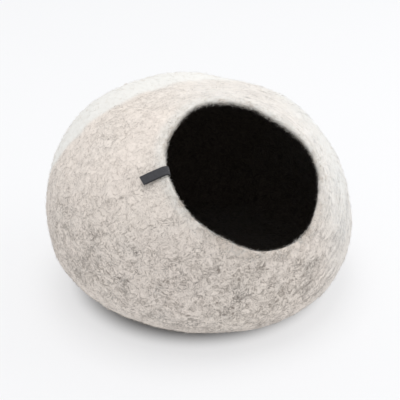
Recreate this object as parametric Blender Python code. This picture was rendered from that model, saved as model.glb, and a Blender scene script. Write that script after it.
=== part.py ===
"""Wet-felted wool cat cave: one hollow felt ball with a doorway and a flat base, and a folded ribbon
label sewn over the doorway's rim. Metres, +Z up, front to -Y, origin under the middle of the base."""

import math

import bmesh
import bpy
import numpy as np

# Driving dimensions, in metres and degrees.
HALF_WIDTH = 0.230
HALF_DEPTH = 0.216
ROOF_RISE = 0.205
BELLY_DROP = 0.136
ROUNDNESS = 2.32
HEART = np.array((-0.0187, -0.0057, 0.098))
WALL = 0.008
BASE_ROUNDING = 0.030

# How much longer the reach is towards +X, towards +Y, up and to +X, and sideways against front to back.
LEAN_RIGHT = 0.085
LEAN_BACK = 0.031
LEAN_TOP = -0.102
SQUASH = -0.012

# Hand-felted swells and hollows: direction round from the front, direction up, spread, height in metres.
SWELLS = (
    (-120, 25, 16, -0.0026),
    (-146, 44, 16, 0.0016),
    (160, 60, 16, 0.0026),
    (124, 54, 14, -0.0034),
    (96, 43, 14, 0.0026),
    (75, 24, 16, -0.0014),
    (40, -12, 18, -0.0010),
    (14, -8, 20, 0.0030),
    (-40, 8, 20, -0.0014),
)

# The doorway's middle looks to the front and up. Its edge opens this far from that line, in degrees,
# every 30 degrees round from the object's +X side, going over the top.
DOOR_RISE = 49
DOOR_OPENING = (33.5, 29.5, 32.0, 32.5, 28.5, 27.5, 26.5, 27.0, 28.5, 33.0, 35.5, 34.5)

ROUND_STEPS = 76
WALL_RINGS = 25
RIM_STEPS = 6

# The ribbon label, folded in two, both ends sewn inside the rim.
LABEL_WIDTH = 0.0120
LABEL_OUTSIDE = 0.0365
LABEL_INSIDE = 0.009
LABEL_ROUND = 166.5
LABEL_SLANT = 14.5
LABEL_LAYER = 0.0010
LABEL_SPACE = 0.0006
LABEL_CLEAR = 0.0007
LABEL_LIFT = 0.0025
LABEL_ACROSS = 7
LABEL_ALONG = 24


def clear_scene():
    for obj in list(bpy.data.objects):
        bpy.data.objects.remove(obj, do_unlink=True)


def unit(vectors):
    return vectors / np.linalg.norm(vectors, axis=-1, keepdims=True)


def direction(round_deg, up_deg):
    """The unit direction this far round from the front (-Y) towards +X and this far up."""
    turn, up = np.radians(round_deg), np.radians(up_deg)
    return np.array((np.sin(turn) * np.cos(up), -np.cos(turn) * np.cos(up), np.sin(up)))


def smooth_min(first, second, width):
    """The smaller of two lengths, rounded where they are within width of each other."""
    near = np.maximum(width - np.abs(first - second), 0) / width
    return np.minimum(first, second) - near**2 * width / 4


def reach(way):
    """How far the outer surface lies from the heart in each unit direction."""
    x, y, z = way[..., 0], way[..., 1], way[..., 2]
    level = np.hypot(x / HALF_WIDTH, y / HALF_DEPTH)
    tall = np.abs(z) / np.where(z > 0, ROOF_RISE, BELLY_DROP)
    length = (level**ROUNDNESS + tall**ROUNDNESS) ** (-1 / ROUNDNESS)
    length = length * (1 + LEAN_RIGHT * x + LEAN_BACK * y + LEAN_TOP * x * z + SQUASH * (x * x - y * y))
    for round_deg, up_deg, spread, height in SWELLS:
        apart = np.degrees(np.arccos(np.clip(way @ direction(round_deg, up_deg), -1, 1)))
        length = length + height * np.exp(-((apart / spread) ** 2))
    floor = HEART[2] / np.maximum(-z, 1e-3)
    return smooth_min(length, np.where(z < -1e-3, floor, 10.0), BASE_ROUNDING)


def door_frame():
    """The doorway's middle line, and the two directions across it: towards +X and up."""
    middle = direction(0, DOOR_RISE)
    side = np.array((1.0, 0.0, 0.0))
    return middle, side, np.cross(middle, side)


def door_edge(round_deg):
    """The doorway's opening angle this far round it, smooth between the rows of DOOR_OPENING."""
    rows = np.array(DOOR_OPENING)
    place = (np.asarray(round_deg, float) % 360) / 360 * len(rows)
    row = np.floor(place).astype(int) % len(rows)
    part = place - np.floor(place)
    before, here, after, later = (rows[(row + step) % len(rows)] for step in (-1, 0, 1, 2))
    slope = after - before
    bend = 2 * before - 5 * here + 4 * after - later
    twist = 3 * (here - after) + later - before
    return here + part / 2 * (slope + part * (bend + part * twist))


def outer_point(round_deg, open_deg):
    """The outer surface's point this far round the doorway and this far from its middle line."""
    middle, side, up = door_frame()
    turn, opened = np.radians(round_deg)[..., None], np.radians(open_deg)[..., None]
    way = middle * np.cos(opened) + (side * np.cos(turn) + up * np.sin(turn)) * np.sin(opened)
    return HEART + way * reach(way)[..., None]


def outer_normal(round_deg, open_deg, step=0.2):
    """The outer surface's normal there, and the direction along the surface towards the doorway."""
    away = outer_point(round_deg, open_deg + step) - outer_point(round_deg, open_deg - step)
    along = outer_point(round_deg + step, open_deg) - outer_point(round_deg - step, open_deg)
    normal = unit(np.cross(away, along))
    outwards = np.sum(normal * (outer_point(round_deg, open_deg) - HEART), axis=-1, keepdims=True)
    return normal * np.sign(outwards), -unit(away)


def rim_opening(round_deg):
    """Where the rounded rim starts: half a wall back from the doorway's edge."""
    edge = door_edge(round_deg)
    across = np.linalg.norm(outer_point(round_deg, edge) - HEART, axis=-1)
    return edge + np.degrees(WALL / 2 / across)


def shell_rings():
    """Rings of points from the outer pole to the rim, round the rim, and back inside to the inner pole."""
    turns = np.arange(ROUND_STEPS) * 360 / ROUND_STEPS
    start = rim_opening(turns)
    outer, inner = [], []
    for ring in range(WALL_RINGS):
        opened = start + (180 - start) * (ring / WALL_RINGS) ** 1.12
        point = outer_point(turns, opened)
        normal, _ = outer_normal(turns, opened)
        outer.append(point)
        inner.append(point - WALL * normal)
    normal, towards = outer_normal(turns, start)
    middle = outer_point(turns, start) - WALL / 2 * normal
    rim = []
    for step in range(1, RIM_STEPS):
        bend = math.pi * step / RIM_STEPS
        rim.append(middle + WALL / 2 * (normal * math.cos(bend) + towards * math.sin(bend)))
    return outer[::-1] + rim + inner


def add_object(name, bm, color, roughness):
    """Turns bm into a named object with its own material, and shades it smooth."""
    mesh = bpy.data.meshes.new(name)
    bm.to_mesh(mesh)
    bm.free()
    mesh.shade_smooth()
    material = bpy.data.materials.new(name)
    material.use_nodes = True
    shader = material.node_tree.nodes["Principled BSDF"]
    shader.inputs["Base Color"].default_value = (*color, 1.0)
    shader.inputs["Roughness"].default_value = roughness
    shader.inputs["Metallic"].default_value = 0.0
    mesh.materials.append(material)
    obj = bpy.data.objects.new(name, mesh)
    bpy.context.scene.collection.objects.link(obj)
    return obj


def make_felt_shell():
    bm = bmesh.new()
    rings = [[bm.verts.new(point) for point in ring] for ring in shell_rings()]
    for near, far in zip(rings, rings[1:]):
        for k in range(ROUND_STEPS):
            after = (k + 1) % ROUND_STEPS
            bm.faces.new((near[k], near[after], far[after], far[k]))
    pole = outer_point(np.array(0.0), np.array(180.0))
    for ring, height in ((rings[0], 0.0), (rings[-1], WALL)):
        tip = bm.verts.new((pole[0], pole[1], height))
        for k in range(ROUND_STEPS):
            bm.faces.new((ring[k], ring[(k + 1) % ROUND_STEPS], tip))
    bmesh.ops.recalc_face_normals(bm, faces=bm.faces)
    bmesh.ops.triangulate(bm, faces=bm.faces)
    return add_object("felt_shell", bm, (0.62, 0.56, 0.50), 0.95)


def wall_path(turns, travel):
    """Points and outward normals on the wall, travel metres out from the rim's tip (negative: inside)."""
    start = rim_opening(turns)
    quarter = math.pi * WALL / 4
    normal, towards = outer_normal(turns, start)
    middle = outer_point(turns, start) - WALL / 2 * normal
    bend = np.clip(travel / quarter, -1, 1)[..., None] * math.pi / 2
    rolled = towards * np.cos(bend) + normal * np.sin(bend)
    across = np.linalg.norm(outer_point(turns, start) - HEART, axis=-1)
    opened = start + np.degrees(np.maximum(np.abs(travel) - quarter, 0) / across)
    point = outer_point(turns, opened)
    normal, _ = outer_normal(turns, opened)
    inside = (travel < 0)[..., None]
    flat = np.where(inside, point - WALL * normal, point)
    flat_out = np.where(inside, -normal, normal)
    on_rim = (np.abs(travel) <= quarter)[..., None]
    return np.where(on_rim, middle + WALL / 2 * rolled, flat), np.where(on_rim, rolled, flat_out)


def label_place(stops, widths):
    """Where the ribbon's grid lies: angle round the doorway and travel out from the rim, slanted."""
    slant = math.radians(LABEL_SLANT)
    out = stops * math.cos(slant) - widths * math.sin(slant)
    aside = widths * math.cos(slant) + stops * math.sin(slant)
    point, _ = wall_path(np.full_like(out, LABEL_ROUND), out)
    middle, _, _ = door_frame()
    ring = np.linalg.norm(np.cross(point - HEART, middle), axis=-1)
    return LABEL_ROUND + np.degrees(aside / ring), out


def label_section():
    """The folded ribbon's middle surface: out on the lower layer, round the fold, back above it."""
    low = LABEL_CLEAR + LABEL_LAYER / 2
    high = low + LABEL_LAYER + LABEL_SPACE
    stops = np.linspace(-LABEL_INSIDE, LABEL_OUTSIDE, LABEL_ALONG)
    widths = np.linspace(-0.5, 0.5, LABEL_ACROSS) * LABEL_WIDTH
    stops, widths = np.meshgrid(stops, widths, indexing="ij")
    point, normal = wall_path(*label_place(stops, widths))
    lift = (LABEL_LIFT * (np.maximum(stops, 0) / LABEL_OUTSIDE) ** 2)[..., None]
    lower, upper = point + (low + lift) * normal, point + (high + lift) * normal
    outwards = unit(lower[-1] - lower[-2])
    centre = (lower[-1] + upper[-1]) / 2
    lift_way = upper[-1] - centre
    size = np.linalg.norm(lift_way, axis=-1, keepdims=True)
    fold = []
    for bend in (-45, 0, 45):
        turn = math.radians(bend)
        fold.append(centre + outwards * size * math.cos(turn) + lift_way * math.sin(turn))
    return np.concatenate((lower, np.array(fold), upper[::-1]))


def make_ribbon_label():
    line = label_section()
    face = unit(np.cross(np.gradient(line, axis=0), np.gradient(line, axis=1)))
    sides = (line + LABEL_LAYER / 2 * face, line - LABEL_LAYER / 2 * face)
    bm = bmesh.new()
    grids = [[[bm.verts.new(point) for point in row] for row in side] for side in sides]
    rows, columns = line.shape[:2]
    for grid in grids:
        for i in range(rows - 1):
            for j in range(columns - 1):
                bm.faces.new((grid[i][j], grid[i + 1][j], grid[i + 1][j + 1], grid[i][j + 1]))
    top, bottom = grids
    for j in (0, columns - 1):
        for i in range(rows - 1):
            bm.faces.new((top[i][j], top[i + 1][j], bottom[i + 1][j], bottom[i][j]))
    for i in (0, rows - 1):
        for j in range(columns - 1):
            bm.faces.new((top[i][j], top[i][j + 1], bottom[i][j + 1], bottom[i][j]))
    bmesh.ops.recalc_face_normals(bm, faces=bm.faces)
    bmesh.ops.triangulate(bm, faces=bm.faces)
    return add_object("ribbon_label", bm, (0.035, 0.036, 0.040), 0.6)


def main():
    clear_scene()
    make_felt_shell()
    make_ribbon_label()


main()
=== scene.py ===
"""Looks of the felt cat cave: wool shell, loose fibres, a folded ribbon label, and the stage."""

import math

import bpy
import numpy as np
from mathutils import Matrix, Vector, noise


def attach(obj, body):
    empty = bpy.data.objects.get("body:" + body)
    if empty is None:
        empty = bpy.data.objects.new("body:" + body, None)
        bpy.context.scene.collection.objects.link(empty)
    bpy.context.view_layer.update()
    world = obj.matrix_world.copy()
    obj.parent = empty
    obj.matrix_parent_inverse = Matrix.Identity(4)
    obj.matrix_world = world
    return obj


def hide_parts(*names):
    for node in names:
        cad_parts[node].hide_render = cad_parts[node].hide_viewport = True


bl_info = {
    "name": "Felt Cat Cave",
    "version": (1, 0, 0),
    "blender": (4, 5, 0),
    "location": "3D View > Sidebar > Felt Cave",
    "description": "Builds a wet-felted wool cat cave with loose fibres and a folded ribbon label",
    "category": "Add Mesh",
}

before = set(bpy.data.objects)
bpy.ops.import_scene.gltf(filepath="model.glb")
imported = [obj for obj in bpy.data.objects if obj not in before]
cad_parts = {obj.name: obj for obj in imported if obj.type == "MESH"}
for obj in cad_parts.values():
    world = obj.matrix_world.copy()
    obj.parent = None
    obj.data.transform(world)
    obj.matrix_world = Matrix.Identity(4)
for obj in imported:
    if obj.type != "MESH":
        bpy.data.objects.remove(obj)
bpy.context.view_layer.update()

# The felt's form, as in the solid: half sizes, rise and drop from the heart, and its leans.
HALF_WIDTH = 0.230
HALF_DEPTH = 0.216
ROOF_RISE = 0.205
BELLY_DROP = 0.136
ROUNDNESS = 2.32
HEART = np.array((-0.0187, -0.0057, 0.098))
WALL = 0.008
BASE_ROUNDING = 0.030
RIM_ROLLS = 14
LEAN_RIGHT = 0.085
LEAN_BACK = 0.031
LEAN_TOP = -0.102
SQUASH = -0.012
SWELLS = (
    (-120, 25, 16, -0.0026),
    (-146, 44, 16, 0.0016),
    (160, 60, 16, 0.0026),
    (124, 54, 14, -0.0034),
    (96, 43, 14, 0.0026),
    (75, 24, 16, -0.0014),
    (40, -12, 18, -0.0010),
    (14, -8, 20, 0.0030),
    (-40, 8, 20, -0.0014),
)
DOOR_RISE = 49
DOOR_OPENING = (33.5, 29.5, 32.0, 32.5, 28.5, 27.5, 26.5, 27.0, 28.5, 33.0, 35.5, 34.5)

# Painted contact shadow on the floor: over an ellipse round the cave's flat base and its rounded
# edge the paper's glow fades out, leaving the paper darker beneath it.
PAINTED_SHADOW_HALF = (0.186, 0.177)
GLOW_STARTS = 0.84
GLOW_FULL = 1.12
FLOOR_HALF = 6.0
FLOOR_STEPS = 9
FLOOR_DROP = 0.0004

LABEL_ROUND = 166.5
LABEL_SLANT = 14.5
LABEL_INSIDE = 0.009
LABEL_LAYER = 0.0010
LABEL_SPACE = 0.0006
LABEL_CLEAR = 0.0007
LABEL_LIFT = 0.0025
STITCH_TRAVEL = -0.0055

# A fibre: its corners, points and faces, how deep its root is sunk, and the height it keeps clear.
FIBRE_CORNERS = 3
FIBRE_POINTS = 7
FIBRE_FACES = 10
ROOT_DEPTH = 0.0004
BASE_CLEAR = 0.006

# How closely the rings crowd to the rim, and the combing's scale round and out.
RING_CROWDING = 1.25
FLOW_ROUND = 5.0
FLOW_OUT = 50.0


# ---- Form of the felt ----

def unit(vectors):
    return vectors / np.linalg.norm(vectors, axis=-1, keepdims=True)


def smooth_step(low, high, value):
    part = np.clip((value - low) / (high - low), 0, 1)
    return part * part * (3 - 2 * part)


def direction(round_deg, up_deg):
    """The unit direction this far round from the front (-Y) towards +X and this far up."""
    turn, up = np.radians(round_deg), np.radians(up_deg)
    return np.array((np.sin(turn) * np.cos(up), -np.cos(turn) * np.cos(up), np.sin(up)))


def smooth_min(first, second, width):
    near = np.maximum(width - np.abs(first - second), 0) / width
    return np.minimum(first, second) - near**2 * width / 4


def reach(way):
    """How far the outer surface lies from the heart in each unit direction."""
    x, y, z = way[..., 0], way[..., 1], way[..., 2]
    level = np.hypot(x / HALF_WIDTH, y / HALF_DEPTH)
    tall = np.abs(z) / np.where(z > 0, ROOF_RISE, BELLY_DROP)
    length = (level**ROUNDNESS + tall**ROUNDNESS) ** (-1 / ROUNDNESS)
    lean = LEAN_RIGHT * x + LEAN_BACK * y + LEAN_TOP * x * z
    length = length * (1 + lean + SQUASH * (x * x - y * y))
    for round_deg, up_deg, spread, height in SWELLS:
        apart = np.degrees(np.arccos(np.clip(way @ direction(round_deg, up_deg), -1, 1)))
        length = length + height * np.exp(-((apart / spread) ** 2))
    floor = HEART[2] / np.maximum(-z, 1e-3)
    return smooth_min(length, np.where(z < -1e-3, floor, 10.0), BASE_ROUNDING)


DOOR_MIDDLE = direction(0, DOOR_RISE)
DOOR_SIDE = np.array((1.0, 0.0, 0.0))
DOOR_UP = np.cross(DOOR_MIDDLE, DOOR_SIDE)


def door_edge(round_deg):
    """The doorway's opening angle this far round it, smooth between the rows of DOOR_OPENING."""
    rows = np.array(DOOR_OPENING)
    place = (np.asarray(round_deg, float) % 360) / 360 * len(rows)
    row = np.floor(place).astype(int) % len(rows)
    part = place - np.floor(place)
    before, here, after, later = (rows[(row + step) % len(rows)] for step in (-1, 0, 1, 2))
    slope = after - before
    bend = 2 * before - 5 * here + 4 * after - later
    twist = 3 * (here - after) + later - before
    return here + part / 2 * (slope + part * (bend + part * twist))


def outer_point(round_deg, open_deg):
    """The outer surface's point this far round the doorway and this far from its middle line."""
    turn, opened = np.radians(round_deg)[..., None], np.radians(open_deg)[..., None]
    across = DOOR_SIDE * np.cos(turn) + DOOR_UP * np.sin(turn)
    way = DOOR_MIDDLE * np.cos(opened) + across * np.sin(opened)
    return HEART + way * reach(way)[..., None]


def outer_normal(round_deg, open_deg, step=0.2):
    """The outer surface's normal there, and the direction along the surface towards the doorway."""
    away = outer_point(round_deg, open_deg + step) - outer_point(round_deg, open_deg - step)
    along = outer_point(round_deg + step, open_deg) - outer_point(round_deg - step, open_deg)
    normal = unit(np.cross(away, along))
    outwards = np.sum(normal * (outer_point(round_deg, open_deg) - HEART), axis=-1, keepdims=True)
    return normal * np.sign(outwards), -unit(away)


def rim_opening(round_deg):
    """Where the rounded rim starts: half a wall back from the doorway's edge."""
    edge = door_edge(round_deg)
    across = np.linalg.norm(outer_point(round_deg, edge) - HEART, axis=-1)
    return edge + np.degrees(WALL / 2 / across)


def wall_path(turns, travel):
    """Points and outward normals on the wall at a travel from the rim's tip, negative inside."""
    start = rim_opening(turns)
    quarter = math.pi * WALL / 4
    normal, towards = outer_normal(turns, start)
    middle = outer_point(turns, start) - WALL / 2 * normal
    bend = np.clip(travel / quarter, -1, 1)[..., None] * math.pi / 2
    rolled = towards * np.cos(bend) + normal * np.sin(bend)
    across = np.linalg.norm(outer_point(turns, start) - HEART, axis=-1)
    opened = start + np.degrees(np.maximum(np.abs(travel) - quarter, 0) / across)
    point = outer_point(turns, opened)
    normal, _ = outer_normal(turns, opened)
    inside = (travel < 0)[..., None]
    flat = np.where(inside, point - WALL * normal, point)
    flat_out = np.where(inside, -normal, normal)
    on_rim = (np.abs(travel) <= quarter)[..., None]
    return np.where(on_rim, middle + WALL / 2 * rolled, flat), np.where(on_rim, rolled, flat_out)


def label_place(stops, widths):
    """Where the slanted ribbon lies: angle round the doorway and travel out from the rim."""
    slant = math.radians(LABEL_SLANT)
    out = stops * math.cos(slant) - widths * math.sin(slant)
    aside = widths * math.cos(slant) + stops * math.sin(slant)
    point, _ = wall_path(np.full_like(out, LABEL_ROUND), out)
    ring = np.linalg.norm(np.cross(point - HEART, DOOR_MIDDLE), axis=-1)
    return LABEL_ROUND + np.degrees(aside / ring), out


# ---- Mesh helpers ----

def noise_at(points, size, seed):
    """Smooth noise from -1 to 1 whose lumps are about size metres across."""
    shift = Vector((seed * 3.17, seed * 1.71, seed * 2.39))
    return np.array([noise.noise(Vector(point) / size + shift) for point in points.tolist()])


def grid_faces(rows, columns, closed):
    """Quads between the rows of a grid whose columns may close on themselves."""
    last = columns if closed else columns - 1
    i, j = np.meshgrid(np.arange(rows - 1), np.arange(last), indexing="ij")
    here, after = i * columns + j, i * columns + (j + 1) % columns
    return np.stack((here, after, after + columns, here + columns), -1).reshape(-1, 4)


def add_piece(name, points, faces, materials):
    mesh = bpy.data.meshes.new(name)
    mesh.from_pydata(points.tolist(), [], [list(map(int, face)) for face in faces])
    mesh.update()
    mesh.shade_smooth()
    for material in materials:
        mesh.materials.append(material)
    piece = bpy.data.objects.new(name, mesh)
    bpy.context.scene.collection.objects.link(piece)
    return piece


def store(piece, name, values):
    layer = piece.data.attributes.new(name, "FLOAT", "POINT")
    layer.data.foreach_set("value", np.asarray(values, np.float32))


# ---- Shader helpers ----

class Field:
    """One shader socket, with arithmetic that adds the nodes it needs."""

    def __init__(self, recipe, socket):
        self.recipe, self.socket = recipe, socket

    def math(self, operation, *values, clamp=False):
        settings = {"operation": operation, "use_clamp": clamp}
        return self.recipe.add("ShaderNodeMath", settings, {i: v for i, v in enumerate(values)})

    def __add__(self, other):
        return self.math("ADD", self, other)

    def __sub__(self, other):
        return self.math("SUBTRACT", self, other)

    def __rsub__(self, other):
        return self.math("SUBTRACT", other, self)

    def __mul__(self, other):
        return self.math("MULTIPLY", self, other)

    def __abs__(self):
        return self.math("ABSOLUTE", self)

    def limited(self):
        return self.math("ADD", self, 0.0, clamp=True)

    def between(self, low, high):
        """0 at low, 1 at high, with a smooth climb; low may be the higher one."""
        settings = {"interpolation_type": "SMOOTHSTEP"}
        values = {"Value": self, "From Min": low, "From Max": high}
        return self.recipe.add("ShaderNodeMapRange", settings, values)

    __radd__ = __add__
    __rmul__ = __mul__


class Recipe:
    """A material's node tree, built by adding one node at a time."""

    def __init__(self, name, roughness):
        self.material = bpy.data.materials.new(name)
        self.material.use_nodes = True
        self.tree = self.material.node_tree
        self.shader = self.tree.nodes["Principled BSDF"]
        self.shader.inputs["Roughness"].default_value = roughness

    def add(self, kind, settings, values, output=0):
        node = self.tree.nodes.new(kind)
        for key, value in settings.items():
            setattr(node, key, value)
        for key, value in values.items():
            self.feed(node.inputs[key], value)
        return Field(self, node.outputs[output])

    def feed(self, socket, value):
        if isinstance(value, Field):
            self.tree.links.new(value.socket, socket)
        else:
            socket.default_value = value

    def attribute(self, name):
        return self.add("ShaderNodeAttribute", {"attribute_name": name}, {}, "Fac")

    def vector(self, operation, first, second):
        return self.add("ShaderNodeVectorMath", {"operation": operation}, {0: first, 1: second})

    def length(self, vector):
        return self.add("ShaderNodeVectorMath", {"operation": "LENGTH"}, {0: vector}, "Value")

    def stretched(self, vector, scale):
        return self.vector("MULTIPLY", vector, scale)

    def noise(self, vector, scale, detail=2.0, distortion=0.0, output="Fac", rough=0.5):
        values = {
            "Vector": vector,
            "Scale": scale,
            "Detail": detail,
            "Distortion": distortion,
            "Roughness": rough,
        }
        return self.add("ShaderNodeTexNoise", {"noise_dimensions": "3D"}, values, output)

    def mixed(self, factor, first, second):
        """Two values mixed by factor."""
        return self.add("ShaderNodeMix", {"data_type": "FLOAT"}, {0: factor, 2: first, 3: second})

    def blend(self, factor, first, second):
        """Two colours mixed by factor."""
        return self.add("ShaderNodeMix", {"data_type": "RGBA"}, {0: factor, 6: first, 7: second}, 2)

    def warped(self, vector, scale, amount, detail=1.0):
        """The vector pushed about by noise of this scale, by up to amount."""
        push = self.noise(vector, scale, detail, output="Color")
        centred = self.vector("SUBTRACT", push, (0.5, 0.5, 0.5))
        return self.vector("ADD", vector, self.stretched(centred, (2 * amount,) * 3))

    def set_color(self, color):
        self.feed(self.shader.inputs["Base Color"], color)

    def set_bump(self, height, distance, strength=1.0):
        values = {"Height": height, "Distance": distance, "Strength": strength}
        self.feed(self.shader.inputs["Normal"], self.add("ShaderNodeBump", {}, values))

    def set_sheen(self, weight, roughness):
        self.shader.inputs["Sheen Weight"].default_value = weight
        self.shader.inputs["Sheen Roughness"].default_value = roughness
        self.shader.inputs["Specular IOR Level"].default_value = 0.2


def solid(color):
    return (*color, 1.0)


# ---- Settings ----

def length_prop(name, description, default):
    return bpy.props.FloatProperty(
        name=name, description=description, default=default, min=0.0, unit="LENGTH", precision=4
    )


def color_prop(name, description, default):
    return bpy.props.FloatVectorProperty(
        name=name, description=description, default=default, size=3, min=0, max=1, subtype="COLOR"
    )


class FeltSettings(bpy.types.PropertyGroup):
    steps_round: bpy.props.IntProperty(
        name="Steps round", description="Mesh steps round the doorway", default=340, min=24
    )
    steps_outside: bpy.props.IntProperty(
        name="Rings outside", description="Mesh rings on the outer face", default=150, min=12
    )
    steps_inside: bpy.props.IntProperty(
        name="Rings inside", description="Mesh rings on the inner face", default=70, min=12
    )
    swell: length_prop("Swell", "Height of the broad hand-felted lumps", 0.0016)
    pucker: length_prop("Pucker", "Height of the small lumps in the felt", 0.0007)
    cream: color_prop("Cream", "Undyed pale wool", (0.85, 0.78, 0.70))
    rose: color_prop("Rose", "Undyed wool with a pink cast", (0.85, 0.762, 0.695))
    taupe: color_prop("Taupe", "Grey-brown wool carded into the cream", (0.27, 0.232, 0.198))
    charcoal: color_prop("Charcoal", "Single dark guard fibres", (0.11, 0.094, 0.084))
    white: color_prop("White", "The pale, smooth wool of the back", (0.80, 0.795, 0.76))
    silver: color_prop("Silver", "Grey wool combed into the pale side", (0.40, 0.405, 0.41))
    # The inner face's near-black colour is painted shade of the cave's inside.
    inner_shade: color_prop("Dark wool", "The dark wool of the inner face", (0.038, 0.031, 0.025))


class FuzzSettings(bpy.types.PropertyGroup):
    count: bpy.props.IntProperty(
        name="Fibres",
        description="Loose fibres, before those near the floor are left out",
        default=17000,
        min=0,
    )
    rim_count: bpy.props.IntProperty(
        name="Rim fibres", description="Loose fibres round the doorway's rim", default=9000, min=0
    )
    length: length_prop("Length", "Mean length of a loose fibre", 0.0062)
    width: length_prop("Width", "Thickness of a loose fibre at its root", 0.00030)
    rise: length_prop("Rise", "How far a fibre stands off the felt", 0.0010)


class LabelSettings(bpy.types.PropertyGroup):
    width: length_prop("Width", "Width of the ribbon", 0.0120)
    outside: length_prop("Length outside", "Folded length over the outer face", 0.0365)
    ribbon: color_prop("Ribbon", "Charcoal ribbon", (0.047, 0.047, 0.052))
    thread: color_prop("Thread", "Black sewing thread", (0.012, 0.012, 0.013))


class StageSettings(bpy.types.PropertyGroup):
    azimuth: bpy.props.FloatProperty(
        name="Azimuth", description="Camera's direction round the cave, in degrees", default=-29.0
    )
    elevation: bpy.props.FloatProperty(
        name="Elevation", description="Camera's height angle, in degrees", default=30.0
    )
    distance: length_prop("Distance", "Camera's distance from its aim", 1.5)
    lens: bpy.props.FloatProperty(name="Lens", description="Focal length, in mm", default=92.07)
    aim: bpy.props.FloatVectorProperty(
        name="Aim",
        description="Point that the camera looks at",
        default=(-0.0114, -0.0189, 0.1376),
    )
    floor_color: color_prop("Floor", "Pale seamless floor", (0.37, 0.37, 0.37))
    floor_glow: bpy.props.FloatProperty(
        name="Floor glow", description="Floor lit from below", default=0.55
    )
    ambient: bpy.props.FloatProperty(name="Ambient", description="World light", default=0.80)
    top_power: bpy.props.FloatProperty(name="Top light", description="Watts", default=37.0)
    side_power: bpy.props.FloatProperty(name="Side light", description="Watts", default=12.5)


# ---- Materials ----

def make_wool(name, settings):
    """Mottled felted wool: cream and taupe carded together, curled fibres, paler rim and back, and
    a near-black inner face that is painted shade.
    """
    wool = Recipe(name, 0.95)
    place = wool.add("ShaderNodeTexCoord", {}, {}, "Object")
    dark_share, aligned = wool.attribute("dark_share"), wool.attribute("aligned")
    pale, inside, cool = wool.attribute("pale"), wool.attribute("inside"), wool.attribute("cool")
    flow = wool.add(
        "ShaderNodeCombineXYZ",
        {},
        {0: wool.attribute("flow_x"), 1: wool.attribute("flow_y"), 2: wool.attribute("flow_z")},
    )
    loose = wool.warped(place, 60, 0.010, 2.0)
    combed = wool.warped(flow, 0.55, 0.95, 2.0)

    # Clumps: worm-like lumps a few millimetres across, curled where the wool was rubbed freely.
    curls = wool.noise(loose, 118, 4.0, 1.9, rough=0.68)
    strands = wool.noise(combed, 1.05, 4.0, 0.9, rough=0.66)
    clumps = wool.mixed(aligned, curls, strands)
    patches = wool.noise(place, 21, 3.0, 1.4)
    fine = wool.noise(loose, 330, 3.0, 1.2, rough=0.6)

    # Dark curls: short lines where noise crosses its middle value, only in some patches.
    thin_loose = abs(wool.noise(loose, 66, 2.0, 2.8) - 0.5).between(0.045, 0.0)
    thin_combed = abs(wool.noise(combed, 0.62, 2.0, 1.1) - 0.5).between(0.030, 0.0)
    thin = wool.mixed(aligned, thin_loose, thin_combed)
    gaps = wool.noise(loose, 36, 3.0, 1.5).between(0.49, 0.66)
    dark_curls = (thin * gaps * dark_share).limited()
    light_curls = abs(wool.noise(loose, 74, 2.0, 2.4) - 0.45).between(0.045, 0.0)

    grey = (clumps - 0.5) * 8.0 + (patches - 0.5) * 2.8 + (fine - 0.5) * 4.5
    grey = grey + (dark_share - 0.5) * 0.9
    grey = (grey.between(-0.5, 2.3) * (0.30 + dark_share * 0.70)).limited()
    rosy = wool.blend(wool.noise(place, 9, 2.0), solid(settings.cream), solid(settings.rose))
    warm = wool.blend(grey, rosy, solid(settings.taupe))
    grizzled = wool.blend(grey, solid(settings.white), solid(settings.silver))
    mottle = wool.blend(cool, warm, grizzled)
    mottle = wool.blend(dark_curls * 0.85, mottle, solid(settings.charcoal))
    mottle = wool.blend(light_curls * 0.35, mottle, solid(settings.cream))
    back = wool.blend(fine * 0.20, solid(settings.white), solid(settings.cream))
    outer = wool.blend(pale, mottle, back)
    # The inner face is painted near black as painted shade, mottled a little by the curls.
    paler_inner_shade = [c * 2.6 for c in settings.inner_shade]
    dark = wool.blend(curls.between(0.3, 0.7), solid(settings.inner_shade), solid(paler_inner_shade))
    wool.set_color(wool.blend(inside, outer, dark))

    height = clumps * 1.2 + fine * 0.40 - dark_curls * 0.15 + light_curls * 0.25 + patches * 0.4
    wool.set_bump(height * (1.0 - pale * 0.7), 0.0014, 0.9)
    wool.set_sheen(0.15, 0.45)
    return wool.material


def make_fibre(name, color, other, scale):
    """Loose wool fibres, each a little lighter or darker along its length."""
    fibre = Recipe(name, 0.9)
    place = fibre.add("ShaderNodeTexCoord", {}, {}, "Object")
    change = fibre.noise(place, scale, 1.0)
    fibre.set_color(fibre.blend(change.between(0.35, 0.65), solid(color), solid(other)))
    fibre.set_sheen(0.3, 0.4)
    return fibre.material


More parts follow.
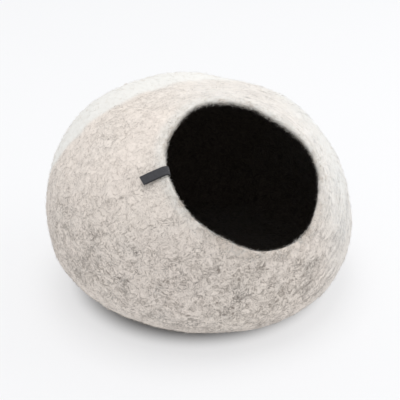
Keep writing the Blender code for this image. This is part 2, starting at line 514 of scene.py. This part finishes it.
def make_ribbon(name, settings):
    """Tightly woven ribbon: fine cross ribs, a twill of the warp, and selvedges a little darker."""
    ribbon = Recipe(name, 0.55)
    along, across = ribbon.attribute("along"), ribbon.attribute("across")
    weave = ribbon.add("ShaderNodeCombineXYZ", {}, {0: along, 1: across, 2: 0.0})
    wave = {"wave_type": "BANDS", "bands_direction": "X", "wave_profile": "SIN"}
    ribs = ribbon.add("ShaderNodeTexWave", wave, {"Vector": weave, "Scale": 900.0})
    wave = {"wave_type": "BANDS", "bands_direction": "DIAGONAL", "wave_profile": "SIN"}
    twill = ribbon.add("ShaderNodeTexWave", wave, {"Vector": weave, "Scale": 520.0})
    wear = ribbon.noise(ribbon.add("ShaderNodeTexCoord", {}, {}, "Object"), 260, 3.0)
    edge = abs(across).between(settings.width * 0.42, settings.width * 0.47)
    # The rib and twill waves darken and lighten the colour as painted shade and light on the woven
    # ribs; the wear noise adds real worn patches.
    lit = ribs * 0.35 + twill * 0.35 + wear * 0.5
    dull = [c * 0.62 for c in settings.ribbon]
    bright = [c * 1.55 for c in settings.ribbon]
    color = ribbon.blend(lit.between(0.1, 1.0), solid(dull), solid(bright))
    ribbon.set_color(ribbon.blend(edge * 0.5, color, solid(settings.thread)))
    ribbon.set_bump(ribs * 0.6 + twill * 0.4 - edge * 0.5, 0.00012)
    ribbon.feed(ribbon.shader.inputs["Roughness"], 0.42 + wear * 0.25)
    ribbon.set_sheen(0.15, 0.3)
    return ribbon.material


def make_floor(name, settings):
    """Matt seamless paper, with the faintest unevenness; it glows evenly, except for a painted
    contact shadow where the glow fades out round the cave's base.
    """
    paper = Recipe(name, 1.0)
    place = paper.add("ShaderNodeTexCoord", {}, {}, "Object")
    cloud = paper.noise(place, 1.3, 2.0)
    shade = [c * 0.985 for c in settings.floor_color]
    paper.set_color(paper.blend(cloud, solid(settings.floor_color), solid(shade)))
    paper.shader.inputs["Specular IOR Level"].default_value = 0.0
    # Painted contact shadow: the glow is taken away inside an ellipse round the cave's base.
    shrink = (1 / PAINTED_SHADOW_HALF[0], 1 / PAINTED_SHADOW_HALF[1], 0.0)
    apart = paper.length(paper.stretched(place, shrink))
    glow = apart.between(GLOW_STARTS, GLOW_FULL)
    lit = paper.blend(glow, solid((0.0, 0.0, 0.0)), solid((0.98, 0.985, 1.0)))
    paper.feed(paper.shader.inputs["Emission Color"], lit)
    paper.shader.inputs["Emission Strength"].default_value = settings.floor_glow
    return paper.material


# ---- The shell ----

def wall_rings(turns, count, is_inner):
    """Rings of one face of the wall from rim to pole: points, normals, travel from the rim."""
    start = rim_opening(turns)
    for ring in range(count):
        opened = start + (180 - start) * (ring / count) ** RING_CROWDING
        point = outer_point(turns, opened)
        normal, _ = outer_normal(turns, opened)
        travel = np.radians(opened - start) * np.linalg.norm(point - HEART, axis=-1)
        yield point - WALL * normal * is_inner, normal * (1 - 2 * is_inner), travel


def shell_grid(settings):
    """Rings from outer pole over the rim to inner pole: points, normals, inside share, travel."""
    turns = np.arange(settings.steps_round) * 360 / settings.steps_round
    outer = list(wall_rings(turns, settings.steps_outside, 0))[::-1]
    inner = list(wall_rings(turns, settings.steps_inside, 1))
    start = rim_opening(turns)
    normal, towards = outer_normal(turns, start)
    middle = outer_point(turns, start) - WALL / 2 * normal
    zero, one = np.zeros(len(turns)), np.ones(len(turns))
    rows = [(point, out, zero, travel) for point, out, travel in outer]
    for step in range(1, RIM_ROLLS):
        bend = math.pi * step / RIM_ROLLS
        out = normal * math.cos(bend) + towards * math.sin(bend)
        rows.append((middle + WALL / 2 * out, out, one * step / RIM_ROLLS, zero))
    rows += [(point, out, one, travel) for point, out, travel in inner]
    return [np.array(values) for values in zip(*rows)]


def door_angles(points):
    """Angle round the doorway and angle from its middle line, in radians."""
    way = unit(points - HEART)
    return np.arctan2(way @ DOOR_UP, way @ DOOR_SIDE), np.arccos(np.clip(way @ DOOR_MIDDLE, -1, 1))


def relief(points, settings):
    """Height of the felt's own lumps: broad swells, puckers and small pills."""
    broad = noise_at(points, 0.050, 1) * settings.swell
    small = noise_at(points, 0.017, 2) * settings.pucker
    pills = noise_at(points, 0.0065, 3) * settings.pucker * 0.55
    return broad, small + pills


def wool_zones(piece, points, inside, rim_travel):
    """Stores what changes slowly over the felt: dark wool, combing, and the pale and cool zones."""
    round_door, from_door = door_angles(points)
    way = unit(points - HEART)
    wander = noise_at(points, 0.035, 7)
    shred = noise_at(points, 0.008, 8)
    z = points[:, 2]
    below = (np.hypot(0.24 - z, 0.04) + 0.24 - z) / 2
    back_edge = points[:, 1] + 0.004 - 0.75 * below + 0.007 * wander + 0.0022 * shred
    high = smooth_step(0.19, 0.27, z)
    pale_back = smooth_step(0.030, 0.044, back_edge)
    by_rim = smooth_step(0.016, 0.002, rim_travel + 0.003 * wander)
    edge_band = 0.65 * by_rim * smooth_step(0.17, 0.25, z)
    right, up = smooth_step(0.03, 0.17, points[:, 0]), smooth_step(0.05, 0.18, z)
    dark_share = 0.90 - 0.42 * smooth_step(0.12, 0.27, z) - 0.30 * right + 0.18 * wander
    left_low = smooth_step(-0.08, -0.18, points[:, 0]) * smooth_step(0.12, 0.06, z)
    belly = np.exp(-((points[:, 0] - 0.05) / 0.10) ** 2 - ((z - 0.09) / 0.06) ** 2)
    belly = belly * (points[:, 1] < 0)
    dark_share = dark_share - 0.20 * left_low + 0.28 * belly
    near_door = 0.7 * smooth_step(0.10, 0.03, rim_travel) * high
    combed = np.clip(0.12 + 1.1 * way[:, 0] + near_door + 0.25 * wander, 0, 1)
    combed = combed * (0.25 + 0.75 * smooth_step(0.24, 0.10, rim_travel))
    # The inner face's painted shade spreads over the rim's roll; high up it starts nearer the outer
    # face and fades in more gradually, as painted shading of the rolled top rim.
    inner = smooth_step(0.50 - 0.38 * high, 0.82 - 0.12 * high, inside + 0.10 * shred)
    store(piece, "pale", np.clip(np.maximum(pale_back, edge_band), 0, 1))
    cool_top = 0.50 * high * smooth_step(-0.10, 0.04, points[:, 0])
    cool = np.maximum(right * (0.50 + 0.50 * up), cool_top)
    store(piece, "cool", np.clip(cool + 0.15 * wander, 0, 1))
    store(piece, "dark_share", np.clip(dark_share, 0.1, 1.3))
    store(piece, "aligned", combed * (0.85 - 0.75 * inner))
    store(piece, "inside", inner)
    store(piece, "flow_x", np.cos(round_door) * FLOW_ROUND)
    store(piece, "flow_y", np.sin(round_door) * FLOW_ROUND)
    store(piece, "flow_z", from_door * FLOW_OUT)


def shell_piece(settings, material):
    rings, normals, inside, rim_travel = shell_grid(settings)
    rows, columns = rings.shape[:2]
    points, out = rings.reshape(-1, 3), normals.reshape(-1, 3)
    inside, rim_travel = inside.ravel(), rim_travel.ravel()
    broad, small = relief(points, settings)
    above_floor = smooth_step(0.0005, 0.022, points[:, 2])
    rim_waver = 0.0009 * noise_at(points, 0.011, 5) * (rim_travel < 1e-6)
    is_inner = inside > 0.999
    shift = broad * (1 - 2 * is_inner) + small + rim_waver
    points = points + out * (shift * above_floor)[:, None]
    points[:, 2] = np.maximum(points[:, 2], 0.0)
    pole = outer_point(np.array(0.0), np.array(180.0))
    tips = np.array(((pole[0], pole[1], 0.0), (pole[0], pole[1], WALL)))
    faces = grid_faces(rows, columns, True).tolist()
    ring = np.arange(columns)
    after = (ring + 1) % columns
    last = (rows - 1) * columns
    faces += [(a, b, rows * columns) for a, b in zip(after, ring)]
    faces += [(a, b, rows * columns + 1) for a, b in zip(last + ring, last + after)]
    all_points = np.vstack((points, tips))
    piece = add_piece("wool_shell", all_points, faces, [material])
    wool_zones(piece, all_points, np.append(inside, (0, 1)), np.append(rim_travel, (0.4, 0.4)))
    return piece


def turn_outwards(piece):
    """Flips a closed mesh if its faces point in."""
    mesh = piece.data
    mesh.calc_loop_triangles()
    corners = np.empty(len(mesh.loop_triangles) * 3, np.int32)
    mesh.loop_triangles.foreach_get("vertices", corners)
    places = np.empty(len(mesh.vertices) * 3, np.float32)
    mesh.vertices.foreach_get("co", places)
    tri = places.reshape(-1, 3)[corners.reshape(-1, 3)]
    if np.sum(np.cross(tri[:, 0], tri[:, 1]) * tri[:, 2]) < 0:
        mesh.flip_normals()


# ---- Loose fibres ----

def spikes(roots, tangents, normals, lengths, rises, curls, width):
    """Closed three-sided fibres that leave the felt, bend over and taper to a point."""
    count = len(roots)
    side = unit(np.cross(tangents, normals))
    stations = []
    for part, thick in ((0.0, 1.0), (0.5, 0.8)):
        centre = roots + tangents * (lengths * part)[:, None]
        lift = rises * math.sin(math.pi * 0.62 * part) - ROOT_DEPTH * (part == 0)
        centre = centre + normals * lift[:, None]
        centre = centre + side * (curls * part**2)[:, None]
        for corner in range(FIBRE_CORNERS):
            turn = 2 * math.pi * corner / FIBRE_CORNERS
            reach_out = side * math.cos(turn) + normals * math.sin(turn)
            stations.append(centre + reach_out * width * thick / 2)
    tip = roots + tangents * lengths[:, None] + normals * (rises * 0.9)[:, None]
    tip = tip + side * curls[:, None]
    points = np.stack(stations + [tip], axis=1).reshape(-1, 3)
    local = [(0, 2, 1)]
    for k in range(3):
        m = (k + 1) % 3
        local += [(k, m, 3 + m), (k, 3 + m, 3 + k), (3 + k, 3 + m, 6)]
    faces = (np.arange(count)[:, None, None] * FIBRE_POINTS + np.array(local)).reshape(-1, 3)
    return points, faces


def scatter(rng, count, open_low, open_high):
    """Random places on the outer face between two angles past the rim, fewer near the pole."""
    turns = rng.uniform(0, 360, count * 3)
    start = rim_opening(turns)
    spread = np.degrees(np.arccos(rng.uniform(-1, 1, count * 3)))
    opened = start + spread * (180 - start) / 180
    opened = np.clip(opened, start + open_low, start + open_high)
    keep = rng.uniform(0, 1, count * 3) < np.sin(np.radians(opened))
    return turns[keep][:count], opened[keep][:count]


def lying_way(rng, normals, towards, along_share):
    """Directions in the surface: round the doorway where along_share is high, else any."""
    along = np.cross(normals, towards)
    turn = rng.uniform(0, 2 * math.pi, len(normals))
    spread = rng.normal(0, 0.45, len(normals)) + math.pi / 2
    turn = np.where(rng.uniform(0, 1, len(normals)) < along_share, spread, turn)
    return unit(towards * np.cos(turn)[:, None] + along * np.sin(turn)[:, None])


def fibre_coat(settings, felt, materials):
    """Loose fibres all over the outer face."""
    rng = np.random.default_rng(41)
    turns, opened = scatter(rng, settings.count, 0.0, 150.0)
    points = outer_point(turns, opened)
    normals, towards = outer_normal(turns, opened)
    keep = points[:, 2] > BASE_CLEAR
    points, normals, towards = points[keep], normals[keep], towards[keep]
    broad, small = relief(points, felt)
    points = points + normals * (broad + small)[:, None]
    share = np.clip(0.3 + 2.2 * points[:, 0], 0.2, 0.8)
    ways = lying_way(rng, normals, towards, share)
    lengths = settings.length * rng.uniform(0.5, 1.6, len(points))
    rises = settings.rise * rng.gamma(1.6, 0.55, len(points)).clip(0.1, 3.0)
    curls = rng.normal(0, 0.35, len(points)) * lengths
    verts, faces = spikes(points, ways, normals, lengths, rises, curls, settings.width)
    piece = add_piece("wool_fibres", verts, faces, materials)
    pale_place = smooth_step(0.02, 0.05, points[:, 1]) > rng.uniform(0, 1, len(points))
    choice = rng.choice(3, len(points), p=(0.62, 0.28, 0.10))
    choice[pale_place] = 0
    set_slots(piece, choice)
    return piece


def rim_coat(settings, materials):
    """Short loose fibres round the rim: pale on its outer half, and on its inner half near black as
    painted shade.
    """
    rng = np.random.default_rng(43)
    count = settings.rim_count
    turns = rng.uniform(0, 360, count)
    bend = rng.uniform(-0.25, 1.15, count) * math.pi
    start = rim_opening(turns)
    normal, towards = outer_normal(turns, start)
    middle = outer_point(turns, start) - WALL / 2 * normal
    out = normal * np.cos(bend)[:, None] + towards * np.sin(bend)[:, None]
    before, past = np.minimum(bend, 0), np.maximum(bend - math.pi, 0)
    out = np.where((bend < 0)[:, None], normal, np.where((bend > math.pi)[:, None], -normal, out))
    slide = towards * (before * 0.012 - past * 0.012)[:, None]
    points = middle + WALL / 2 * out + slide
    along = unit(np.cross(out, np.cross(towards, normal)))
    ring = unit(np.cross(normal, towards))
    turn = rng.uniform(0, 2 * math.pi, count)
    ways = unit(along * (np.cos(turn) * 0.6)[:, None] + ring * np.sin(turn)[:, None])
    lengths = settings.length * 0.75 * rng.uniform(0.4, 1.5, count)
    rises = settings.rise * rng.gamma(1.6, 0.6, count).clip(0.1, 3.2)
    curls = rng.normal(0, 0.4, count) * lengths
    verts, faces = spikes(points, ways, out, lengths, rises, curls, settings.width)
    piece = add_piece("rim_fibres", verts, faces, materials)
    choice = rng.choice(2, count, p=(0.8, 0.2))
    # Fibres on the rim's inner half take the near-black painted shade colour.
    choice[bend > math.pi * 0.62] = 3
    set_slots(piece, choice)
    return piece


def set_slots(piece, choice):
    """Gives all the faces of each fibre its material slot."""
    slots = np.repeat(choice, FIBRE_FACES).astype(np.int32)
    piece.data.polygons.foreach_set("material_index", slots)
    piece.data.update()


# ---- The label ----

def label_line(settings, columns):
    """The folded ribbon's middle surface: out on the lower layer, round the fold, back above it."""
    low = LABEL_CLEAR + LABEL_LAYER / 2
    high = low + LABEL_LAYER + LABEL_SPACE
    stops = np.linspace(-LABEL_INSIDE, settings.outside, 48)
    widths = np.linspace(-0.5, 0.5, columns) * settings.width
    stops, widths = np.meshgrid(stops, widths, indexing="ij")
    point, normal = wall_path(*label_place(stops, widths))
    part = np.clip(stops / settings.outside, 0, 1)
    lift = (LABEL_LIFT * part**2)[..., None]
    belly = (0.0007 * np.sin(math.pi * part))[..., None]
    lower = point + (low + lift) * normal
    upper = point + (high + lift + belly) * normal
    outwards = unit(lower[-1] - lower[-2])
    centre = (lower[-1] + upper[-1]) / 2
    lift_way = upper[-1] - centre
    size = np.linalg.norm(lift_way, axis=-1, keepdims=True)
    fold = []
    for bend in range(-60, 61, 30):
        turn = math.radians(bend)
        fold.append(centre + outwards * size * math.cos(turn) + lift_way * math.sin(turn))
    return np.concatenate((lower, np.array(fold), upper[::-1]))


def label_piece(settings, material):
    columns = 21
    line = label_line(settings, columns)
    face = unit(np.cross(np.gradient(line, axis=0), np.gradient(line, axis=1)))
    edge = np.abs(np.linspace(-1, 1, columns))
    thick = LABEL_LAYER / 2 * (1 - 0.35 * smooth_step(0.85, 1.0, edge))[None, :, None]
    rows = len(line)
    sides = np.concatenate((line + thick * face, line - thick * face))
    top = grid_faces(rows, columns, False)
    under = rows * columns
    faces = top.tolist() + (top[:, ::-1] + under).tolist()
    rim = list(range(columns)) + [(i + 1) * columns - 1 for i in range(1, rows)]
    rim += [rows * columns - 1 - j for j in range(1, columns)]
    rim += [i * columns for i in range(rows - 2, 0, -1)]
    for here, after in zip(rim, rim[1:] + rim[:1]):
        faces.append((after, here, here + under, after + under))
    piece = add_piece("woven_label", sides.reshape(-1, 3), faces, [material])
    travel = np.cumsum(np.linalg.norm(np.diff(line[:, columns // 2], axis=0), axis=1))
    along = np.tile(np.repeat(np.append(0, travel), columns), 2)
    across = np.tile(np.tile(np.linspace(-0.5, 0.5, columns) * settings.width, rows), 2)
    store(piece, "along", along)
    store(piece, "across", across)
    turn_outwards(piece)
    return piece, float(travel[-1])


def stitch_piece(settings, material):
    """A short row of stitches that holds the ribbon's ends just inside the rim."""
    verts, faces = [], []
    height = LABEL_CLEAR + 2 * LABEL_LAYER + LABEL_SPACE + 0.0002
    pitch = settings.width / 7
    for k in range(-3, 3):
        widths = np.array(((k + 0.15) * pitch, (k + 0.85) * pitch))
        point, out = wall_path(*label_place(np.full(2, STITCH_TRAVEL), widths))
        ends = point + out * height
        stitch_tube(verts, faces, ends[0], ends[1], out[0])
    piece = add_piece("label_stitches", np.array(verts), faces, [material])
    turn_outwards(piece)
    return piece


def stitch_tube(verts, faces, first, last, out, radius=0.00028, sides=8, steps=7):
    """One stitch: a round thread that dips into the cloth at both ends."""
    along = unit(last - first)
    cross = np.cross(along, out)
    base = len(verts)
    for i in range(steps):
        part = i / (steps - 1)
        sink = 0.0007 * (2 * part - 1) ** 4
        centre = first + (last - first) * part - out * sink
        for k in range(sides):
            turn = 2 * math.pi * k / sides
            verts.append(centre + radius * (cross * math.cos(turn) + out * math.sin(turn)))
    for i in range(steps - 1):
        for k in range(sides):
            m = (k + 1) % sides
            here, there = base + i * sides, base + (i + 1) * sides
            faces.append((here + k, here + m, there + m, there + k))
    faces.append(tuple(base + k for k in range(sides))[::-1])
    faces.append(tuple(base + (steps - 1) * sides + k for k in range(sides)))


# ---- Operators ----

class CAVE_OT_shell(bpy.types.Operator):
    """Builds the felted wool shell with its doorway, in place of the plain solid"""

    bl_idname = "cave.shell"
    bl_label = "Felt shell"

    def execute(self, context):
        settings = context.scene.cave_felt
        piece = shell_piece(settings, make_wool("mottled_wool", settings))
        turn_outwards(piece)
        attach(piece, "root")
        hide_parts("felt_shell")
        return {"FINISHED"}


class CAVE_OT_fibres(bpy.types.Operator):
    """Adds the loose wool fibres of the outer face and the rim"""

    bl_idname = "cave.fibres"
    bl_label = "Loose fibres"

    def execute(self, context):
        felt, fuzz = context.scene.cave_felt, context.scene.cave_fuzz
        materials = [
            make_fibre("pale_fibre", felt.white, felt.cream, 90),
            make_fibre("taupe_fibre", felt.cream, felt.taupe, 90),
            make_fibre("dark_fibre", felt.taupe, felt.charcoal, 120),
            # The inner fibres take the painted shade colour of the inner face.
            make_fibre("inner_shade_fibre", felt.inner_shade, [c * 2 for c in felt.inner_shade], 120),
        ]
        coat = fibre_coat(fuzz, felt, materials[:3])
        rim = rim_coat(fuzz, materials)
        for piece in (coat, rim):
            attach(piece, "root")
        shell = bpy.data.objects["wool_shell"]
        area = surface_area(shell) / 2
        return {"FINISHED"}


class CAVE_OT_label(bpy.types.Operator):
    """Builds the folded ribbon label and its stitches, in place of the plain solid"""

    bl_idname = "cave.label"
    bl_label = "Ribbon label"

    def execute(self, context):
        settings = context.scene.cave_label
        label, length = label_piece(settings, make_ribbon("charcoal_ribbon", settings))
        dark = [c * 1.8 for c in settings.thread]
        stitches = stitch_piece(settings, make_fibre("black_thread", settings.thread, dark, 900))
        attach(label, "root")
        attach(stitches, "root")
        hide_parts("ribbon_label")
        return {"FINISHED"}


class CAVE_OT_stage(bpy.types.Operator):
    """Sets the pale floor, the soft studio light and the camera"""

    bl_idname = "cave.stage"
    bl_label = "Stage"

    def execute(self, context):
        settings = context.scene.cave_stage
        add_floor(settings)
        add_lights(settings)
        add_camera(settings)
        return {"FINISHED"}


def surface_area(piece):
    areas = np.empty(len(piece.data.polygons), np.float32)
    piece.data.polygons.foreach_get("area", areas)
    return float(areas.sum())


def add_floor(settings):
    """A wide sheet of paper that the cave stands on."""
    line = np.linspace(-FLOOR_HALF, FLOOR_HALF, FLOOR_STEPS)
    x, y = np.meshgrid(line, line)
    points = np.stack((x, y, np.full_like(x, -FLOOR_DROP)), -1).reshape(-1, 3)
    faces = grid_faces(FLOOR_STEPS, FLOOR_STEPS, False)
    floor = add_piece("floor", points, faces, [make_floor("seamless_paper", settings)])


def add_area(name, place, aim, size, power):
    lamp = bpy.data.lights.new(name, "AREA")
    lamp.shape = "SQUARE"
    lamp.size = size
    lamp.energy = power
    holder = bpy.data.objects.new(name, lamp)
    holder.location = place
    holder.rotation_euler = (Vector(aim) - Vector(place)).to_track_quat("-Z", "Y").to_euler()
    bpy.context.scene.collection.objects.link(holder)


def add_lights(settings):
    world = bpy.data.worlds.new("soft_room")
    world.use_nodes = True
    background = world.node_tree.nodes["Background"]
    background.inputs["Color"].default_value = (0.975, 0.98, 1.0, 1.0)
    background.inputs["Strength"].default_value = settings.ambient
    bpy.context.scene.world = world
    add_area("top_box", (-0.1, 0.2, 3.3), (0, 0.0, 0.15), 1.6, settings.top_power)
    add_area("side_box", (2.0, -0.5, 0.8), (0, 0, 0.15), 1.8, settings.side_power)
    bpy.context.scene.view_settings.view_transform = "Standard"


def add_camera(settings):
    turn, up = math.radians(settings.azimuth), math.radians(settings.elevation)
    back = Vector((math.sin(turn) * math.cos(up), -math.cos(turn) * math.cos(up), math.sin(up)))
    lens = bpy.data.cameras.new("camera")
    lens.lens = settings.lens
    lens.sensor_width = 36.0
    camera = bpy.data.objects.new("camera", lens)
    camera.location = Vector(settings.aim) + back * settings.distance
    camera.rotation_euler = (-back).to_track_quat("-Z", "Y").to_euler()
    bpy.context.scene.collection.objects.link(camera)
    bpy.context.scene.camera = camera


class CAVE_PT_panel(bpy.types.Panel):
    bl_idname = "CAVE_PT_panel"
    bl_label = "Felt Cave"
    bl_space_type = "VIEW_3D"
    bl_region_type = "UI"
    bl_category = "Felt Cave"

    def draw(self, context):
        for operator in OPERATORS:
            self.layout.operator(operator.bl_idname)
        for name in SETTINGS:
            group = getattr(context.scene, name)
            box = self.layout.box()
            for key in type(group).__annotations__:
                box.prop(group, key)


SETTINGS = {
    "cave_felt": FeltSettings,
    "cave_fuzz": FuzzSettings,
    "cave_label": LabelSettings,
    "cave_stage": StageSettings,
}
OPERATORS = (CAVE_OT_shell, CAVE_OT_fibres, CAVE_OT_label, CAVE_OT_stage)


def register():
    for group in SETTINGS.values():
        bpy.utils.register_class(group)
    for name, group in SETTINGS.items():
        setattr(bpy.types.Scene, name, bpy.props.PointerProperty(type=group))
    for operator in OPERATORS:
        bpy.utils.register_class(operator)
    bpy.utils.register_class(CAVE_PT_panel)


def unregister():
    bpy.utils.unregister_class(CAVE_PT_panel)
    for operator in reversed(OPERATORS):
        bpy.utils.unregister_class(operator)
    for name, group in reversed(SETTINGS.items()):
        delattr(bpy.types.Scene, name)
        bpy.utils.unregister_class(group)


def main():
    register()
    bpy.ops.cave.stage()
    bpy.ops.cave.shell()
    bpy.ops.cave.fibres()
    bpy.ops.cave.label()


if __name__ == "__main__":
    main()
